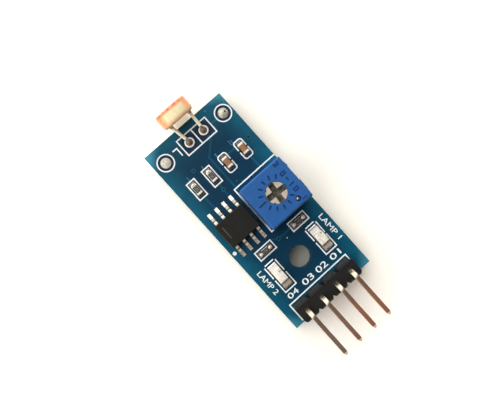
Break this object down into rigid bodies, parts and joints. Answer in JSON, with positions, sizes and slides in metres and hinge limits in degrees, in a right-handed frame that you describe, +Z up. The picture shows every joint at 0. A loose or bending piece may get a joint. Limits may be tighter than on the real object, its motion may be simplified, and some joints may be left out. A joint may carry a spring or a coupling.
{
  "type": "photoresistor light sensor module",
  "caption": "Small blue circuit board with a photoresistor bent out over one end, a screwdriver trimmer, a comparator, indicator lamps and a bent pin header; switches on light level.",
  "frame": {"origin": "on the mounting hole's axis, at the board's underside", "axes": "+X along the board towards the header pins, +Y towards the board edge that carries the trimmer, +Z up from the component side"},
  "size_m": [0.0401, 0.0136, 0.0077],
  "materials": {
    "board_mask": "glossy blue solder mask over woven glass laminate",
    "legend_ink": "matte white ink",
    "via_mask": "mask-covered copper",
    "tinned_copper": "thin bright tin",
    "solder": "bright hand-made and reflowed solder",
    "cell_ceramic": "unglazed cream ceramic",
    "cell_film": "matte orange film",
    "cell_electrode": "thin bright metal film",
    "cell_coating": "clear warm lacquer",
    "tinned_wire": "tinned wire",
    "trimmer_plastic": "satin blue moulding",
    "rotor_plastic": "satin beige moulding",
    "seal_rubber": "soft black rubber",
    "spring_brass": "bright spring strip",
    "element_ceramic": "white ceramic",
    "cermet": "dark cermet film",
    "potting_resin": "cured resin",
    "marker_steel": "bright metal",
    "chip_epoxy": "matte black moulding",
    "tinned_lead": "tinned strip",
    "capacitor_ceramic": "satin brown ceramic",
    "resistor_ceramic": "white ceramic",
    "resistor_glaze": "black glaze",
    "end_cap": "tinned end cap",
    "lamp_base": "white laminate",
    "lamp_terminal": "plated terminal",
    "lamp_die": "small semiconductor die",
    "lamp_lens": "clear cream resin",
    "header_plastic": "black moulding",
    "header_pin": "plated copper alloy"
  },
  "bodies": {
    "module": {"circuit_board": "board_mask", "printed_legend": "legend_ink", "tinned_pads": "tinned_copper", "via_barrels": "via_mask", "spare_pad_solder": "solder", "photocell_ceramic": "cell_ceramic", "photocell_film": "cell_film", "photocell_electrodes": "cell_electrode", "photocell_coating": "cell_coating", "photocell_lead_a": "tinned_wire", "photocell_lead_b": "tinned_wire", "photocell_solder": "solder", "trimmer_housing": "trimmer_plastic", "trimmer_seal_ring": "seal_rubber", "trimmer_element": "element_ceramic", "trimmer_track": "cermet", "trimmer_potting": "potting_resin", "trimmer_marker": "marker_steel", "trimmer_pin_1": "tinned_wire", "trimmer_pin_2": "tinned_wire", "trimmer_pin_3": "tinned_wire", "trimmer_solder": "solder", "comparator_body": "chip_epoxy", "comparator_leads": "tinned_lead", "comparator_solder": "solder", "capacitor_1_body": "capacitor_ceramic", "capacitor_1_caps": "end_cap", "capacitor_2_body": "capacitor_ceramic", "capacitor_2_caps": "end_cap", "resistor_1_body": "resistor_ceramic", "resistor_1_coat": "resistor_glaze", "resistor_1_caps": "end_cap", "resistor_2_body": "resistor_ceramic", "resistor_2_coat": "resistor_glaze", "resistor_2_caps": "end_cap", "resistor_3_body": "resistor_ceramic", "resistor_3_coat": "resistor_glaze", "resistor_3_caps": "end_cap", "resistor_4_body": "resistor_ceramic", "resistor_4_coat": "resistor_glaze", "resistor_4_caps": "end_cap", "power_lamp_base": "lamp_base", "power_lamp_terminals": "lamp_terminal", "power_lamp_die": "lamp_die", "power_lamp_lens": "lamp_lens", "output_lamp_base": "lamp_base", "output_lamp_terminals": "lamp_terminal", "output_lamp_die": "lamp_die", "output_lamp_lens": "lamp_lens", "chip_solder": "solder", "header_body": "header_plastic", "header_pin_1": "header_pin", "header_pin_2": "header_pin", "header_pin_3": "header_pin", "header_pin_4": "header_pin", "header_solder": "solder"},
    "rotor": {"trimmer_rotor": "rotor_plastic", "trimmer_wiper": "spring_brass"}
  },
  "joints": [
    {"name": "trimmer_turn", "type": "hinge", "parent": "module", "child": "rotor", "pos_m": [-0.00874, 0.0028, 0.006], "axis": [0, 0, 1], "range_deg": [-130, 130]}
  ]
}
